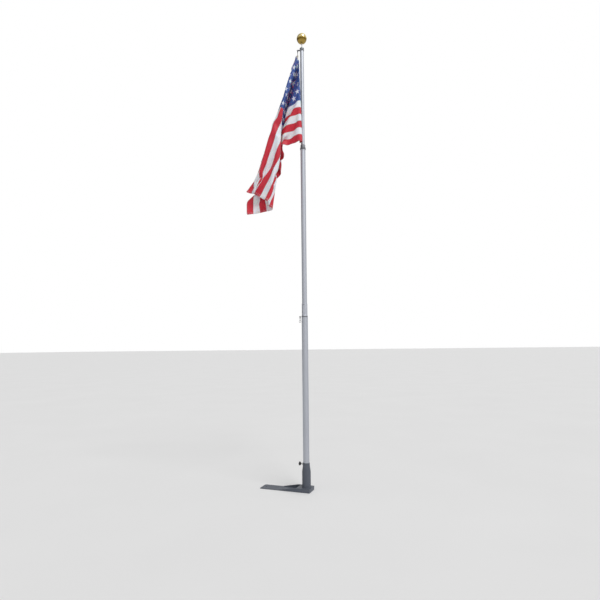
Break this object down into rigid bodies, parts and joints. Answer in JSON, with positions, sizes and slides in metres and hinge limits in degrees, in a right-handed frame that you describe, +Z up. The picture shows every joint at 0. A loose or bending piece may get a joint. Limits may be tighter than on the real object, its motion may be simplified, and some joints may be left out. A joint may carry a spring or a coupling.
{
  "type": "telescoping flagpole on a wheel stand",
  "caption": "Telescoping aluminium flagpole with a gold ball and a striped flag on snap hooks, standing in the socket of a steel plate held down by a wheel.",
  "frame": {"origin": "underside of the stand's pan, on the pole's axis", "axes": "+Z up along the pole, the pan runs towards -X to the end that lies under a wheel, and the picture is seen from -Y, turned 20 degrees towards +X"},
  "size_m": [0.621, 0.2852, 4.6961],
  "materials": {
    "painted_steel": "satin blue-grey paint, scuffed",
    "zinc_steel": "zinc plated",
    "black_plastic": "moulded, matte",
    "anodised_tube": "satin anodised",
    "sleeve_metal": "satin anodised, turned",
    "dark_metal": "black oxide",
    "ring_plastic": "moulded, matte",
    "snap_metal": "darkened steel",
    "guide_plastic": "nylon",
    "collar_plastic": "moulded, matte",
    "cap_metal": "dark grey, satin",
    "spindle_metal": "bare metal",
    "gold_ball": "gold anodised, polished",
    "grommet_brass": "stamped",
    "canvas": "white duck canvas, sewn",
    "flag_cloth": "woven nylon, sewn stripes and embroidered stars"
  },
  "bodies": {
    "stand": {"base_pan": "painted_steel", "cover_plate": "painted_steel", "socket_tube": "painted_steel", "socket_weld": "painted_steel", "socket_seat": "painted_steel", "clamp_boss": "zinc_steel"},
    "clamp": {"clamp_screw": "zinc_steel", "clamp_knob": "black_plastic"},
    "lower_section": {"lower_tube": "anodised_tube", "lower_sleeve": "sleeve_metal", "sleeve_screw": "dark_metal"},
    "spare_ring": {"spare_ring": "ring_plastic"},
    "spare_clip": {"spare_snap": "snap_metal", "spare_gate": "snap_metal"},
    "middle_section": {"middle_tube": "anodised_tube", "middle_guide": "guide_plastic", "upper_collar": "collar_plastic"},
    "top_section": {"top_tube": "anodised_tube", "top_guide": "guide_plastic", "truck_cap": "cap_metal", "finial_spindle": "spindle_metal", "finial_ball": "gold_ball"},
    "flag_foot": {"lower_ring": "ring_plastic", "lower_snap": "snap_metal", "lower_gate": "snap_metal", "lower_grommet": "grommet_brass", "flag_heading": "canvas", "flag": "flag_cloth"},
    "flag_head": {"top_ring": "ring_plastic", "top_snap": "snap_metal", "top_gate": "snap_metal", "upper_grommet": "grommet_brass"}
  },
  "joints": [
    {"name": "clamp_turn", "type": "hinge", "parent": "stand", "child": "clamp", "pos_m": [-0.05, 0, 0.278], "axis": [-1, 0, 0], "range_deg": [0, 720]},
    {"name": "pole_lift", "type": "slide", "parent": "stand", "child": "lower_section", "axis": [0, 0, 1], "range_m": [0, 0.27]},
    {"name": "spare_ring_swivel", "type": "hinge", "parent": "lower_section", "child": "spare_ring", "pos_m": [0, 0, 1.7919], "axis": [0, 0, 1], "continuous": true},
    {"name": "spare_clip_swing", "type": "hinge", "parent": "spare_ring", "child": "spare_clip", "pos_m": [-0.0451, -0.01642, 1.7919], "axis": [-0.342, 0.9397, 0], "range_deg": [0, 95]},
    {"name": "middle_slide", "type": "slide", "parent": "lower_section", "child": "middle_section", "axis": [0, 0, 1], "range_m": [-1.575, 0]},
    {"name": "top_slide", "type": "slide", "parent": "middle_section", "child": "top_section", "axis": [0, 0, 1], "range_m": [-0.96, 0], "deforming": ["flag", "flag_heading"]},
    {"name": "flag_swivel", "type": "hinge", "parent": "middle_section", "child": "flag_foot", "pos_m": [0, 0, 3.5144], "axis": [0, 0, 1], "continuous": true},
    {"name": "flag_head_slide", "type": "slide", "parent": "flag_foot", "child": "flag_head", "axis": [0, 0, 1], "range_m": [-0.96, 0]}
  ],
  "couplings": [
    {"joint": "flag_head_slide", "follows": "top_slide", "ratio": 1}
  ]
}
